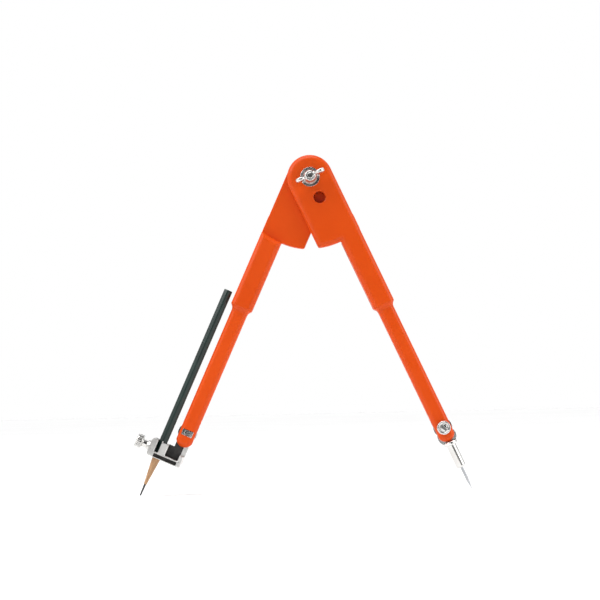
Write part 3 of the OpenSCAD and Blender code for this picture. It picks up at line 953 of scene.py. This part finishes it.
def build_pencil():
    """Hexagonal pencil; the sharpener's cone leaves scallops where it runs out on the flats."""
    flat = WOOD_HIGH[0] - PENCIL_X
    top, bottom = -WOOD_HIGH[2], -WOOD_LOW[2]
    lead_r = LEAD_HIGH[1]
    cone_start = LEG_END + 7
    corner = flat / math.cos(math.pi / 6)
    slope = (corner + 0.6 - lead_r - 0.2) / (bottom - cone_start + 1)
    limit = corner - 0.35
    segments = 144
    levels = [top, top + 0.1, top + 0.3] + list(np.arange(top + 6, cone_start - 3, 6))
    levels += list(np.arange(cone_start - 2, cone_start + 11, 0.18))
    levels += list(np.linspace(cone_start + 11.4, bottom, 14))
    ends = {top: 0.28, top + 0.1: 0.1}

    verts, faces, slots, cut = [], [], [], []
    for at in levels:
        for i in range(segments):
            a = 2 * math.pi * i / segments
            off = (a + math.pi / 6) % (math.pi / 3) - math.pi / 6
            side = flat / math.cos(off)
            hexagon = limit + (side - limit) * 0.35 if side > limit else side
            cone = lead_r + 0.2 + slope * (bottom - at)
            r = min(hexagon - ends.get(at, 0), cone)
            verts.append((PENCIL_X + r * math.cos(a), r * math.sin(a), -at))
            cut.append(cone < hexagon)
    rows = len(levels)
    for k in range(rows - 1):
        for i in range(segments):
            j = (i + 1) % segments
            quad = (k * segments + i, (k + 1) * segments + i,
                    (k + 1) * segments + j, k * segments + j)
            faces.append(quad)
            slots.append(1 if sum(cut[q] for q in quad) >= 2 else 0)
    inner = len(verts)
    for at in (top, bottom):
        for i in range(segments):
            a = 2 * math.pi * i / segments
            verts.append((PENCIL_X + lead_r * math.cos(a), lead_r * math.sin(a), -at))
    last = (rows - 1) * segments
    for i in range(segments):
        j = (i + 1) % segments
        faces.append((i, j, inner + j, inner + i))
        faces.append((last + j, last + i, inner + segments + i, inner + segments + j))
        faces.append((inner + i, inner + j, inner + segments + j, inner + segments + i))
        slots += [1, 1, 1]
    wood = outward(mesh_object("hexagonal_pencil", verts, faces, slots))
    finish_piece(wood, PENCIL_SIDE, "pencil", ["pencil_wood"], [LACQUER, WOOD], 40)

    tip = -LEAD_LOW[2]
    core_r, tip_r = lead_r - 0.02, 0.64
    core = [(0, -top - 0.02), (core_r, -top - 0.02), (core_r, -bottom), (core_r, -bottom - 0.05)]
    core += [(tip_r, -tip + 0.6), (tip_r - 0.14, -tip + 0.15), (0, -tip)]
    lead = turned("pencil_core", softened(core, 0.5, 3), 48)
    lead = moved(lead, Matrix.Translation((PENCIL_X, 0, 0)))
    finish_piece(lead, PENCIL_SIDE, "pencil", ["pencil_lead"], [GRAPHITE], 40)


build_arms()
build_pivot()
build_leg_hardware()
build_needle_foot()
build_pencil_foot()
build_pencil()


# ---------------------------------------------------------------- floor, light, camera
def build_floor():
    """A pale floor at the height of the lowest tip, ending 0.85 m in front of the compass."""
    size, front = 8.0, 0.85
    z = CAD_BOX[0][2] - 0.0005
    corners = [(-size, -front, z), (size, -front, z), (size, size, z), (-size, size, z)]
    floor = mesh_object("floor", corners, [(0, 1, 2, 3)])
    look = Look("pale_floor", Roughness=0.9)
    tone = look.ramp(look.noise(3, 2), (0.3, (0.93, 0.93, 0.93)), (0.7, (0.95, 0.95, 0.95)))
    look.feed("Base Color", tone)
    floor.data.materials.append(look.mat)


def build_world():
    """A pale backdrop, lit as by panels at both sides with a dark room in front and behind."""
    world = bpy.data.worlds.new("studio")
    bpy.context.scene.world = world
    world.use_nodes = True
    nodes, links = world.node_tree.nodes, world.node_tree.links
    place = nodes.new("ShaderNodeTexCoord").outputs["Generated"]
    split = nodes.new("ShaderNodeSeparateXYZ")
    links.new(place, split.inputs[0])
    side = nodes.new("ShaderNodeMath")
    side.operation = "ABSOLUTE"
    links.new(split.outputs["X"], side.inputs[0])
    ramp = nodes.new("ShaderNodeValToRGB")
    links.new(side.outputs[0], ramp.inputs["Fac"])
    elements = ramp.color_ramp.elements
    stops = ((0.0, 0.02), (0.3, 0.04), (0.6, 0.6), (1.0, 1.0))
    while len(elements) < len(stops):
        elements.new(0.5)
    for element, (at, shade) in zip(elements, stops):
        element.position = at
        element.color = (shade, shade, shade, 1)
    links.new(ramp.outputs["Color"], nodes["Background"].inputs["Color"])
    nodes["Background"].inputs["Strength"].default_value = 1.0
    backdrop = nodes.new("ShaderNodeBackground")
    backdrop.inputs["Color"].default_value = (1, 1, 1, 1)
    choose = nodes.new("ShaderNodeMixShader")
    links.new(nodes.new("ShaderNodeLightPath").outputs["Is Camera Ray"], choose.inputs[0])
    links.new(nodes["Background"].outputs[0], choose.inputs[1])
    links.new(backdrop.outputs[0], choose.inputs[2])
    links.new(choose.outputs[0], nodes["World Output"].inputs["Surface"])


def softbox(name, place, aim, size, power):
    """A rectangular lamp at one point, aimed at another; metres and watts."""
    light = bpy.data.lights.new(name, "AREA")
    light.shape = "RECTANGLE"
    light.size, light.size_y = size
    light.energy = power
    obj = bpy.data.objects.new(name, light)
    obj.location = place
    obj.rotation_euler = (Vector(aim) - Vector(place)).to_track_quat("-Z", "Y").to_euler()
    bpy.context.scene.collection.objects.link(obj)


def build_lights():
    """Key from the upper left, fill from the right, a rim behind, a card in front and a soft sun."""
    middle = (-0.01, 0.0, -0.12)
    softbox("key", (-1.1, -0.55, 0.85), middle, (0.7, 0.7), 9)
    softbox("fill", (1.25, -0.45, 0.3), middle, (0.5, 1.0), 6)
    softbox("rim", (0.4, 1.1, 0.9), middle, (1.2, 0.5), 4)
    softbox("card", (-0.3, -1.6, 0.35), (-0.05, 0.0, -0.2), (0.5, 0.5), 1.6)
    ceiling = bpy.data.lights.new("ceiling", "SUN")
    ceiling.energy = 2.5
    ceiling.angle = math.radians(50)
    obj = bpy.data.objects.new("ceiling", ceiling)
    obj.rotation_euler = (math.radians(12), math.radians(-8), 0)
    bpy.context.scene.collection.objects.link(obj)


def build_camera():
    """Nearly frontal, a little below the middle of the compass, looking slightly up."""
    distance, width_at_middle = 1.3, 0.506
    elevation, azimuth, roll = math.radians(-3.75), math.radians(0.7), math.radians(-1.23)
    sensor = 36.0
    target = Vector((-0.0105, 0, -0.1032))
    level = math.cos(elevation)
    ahead = Vector((math.sin(azimuth) * level, math.cos(azimuth) * level, -math.sin(elevation)))
    right = Vector((math.cos(azimuth), -math.sin(azimuth), 0))
    up = right.cross(ahead)
    tilted = math.cos(roll) * right + math.sin(roll) * up
    raised = math.cos(roll) * up - math.sin(roll) * right
    data = bpy.data.cameras.new("camera")
    data.sensor_width = sensor
    data.lens = sensor * distance / width_at_middle
    data.clip_start = 0.01
    camera = bpy.data.objects.new("camera", data)
    turn = Matrix((tilted, raised, -ahead)).transposed().to_4x4()
    camera.matrix_world = Matrix.Translation(target - distance * ahead) @ turn
    bpy.context.scene.collection.objects.link(camera)
    bpy.context.scene.camera = camera


build_floor()
build_world()
build_lights()
build_camera()
bpy.context.scene.view_settings.view_transform = "Standard"
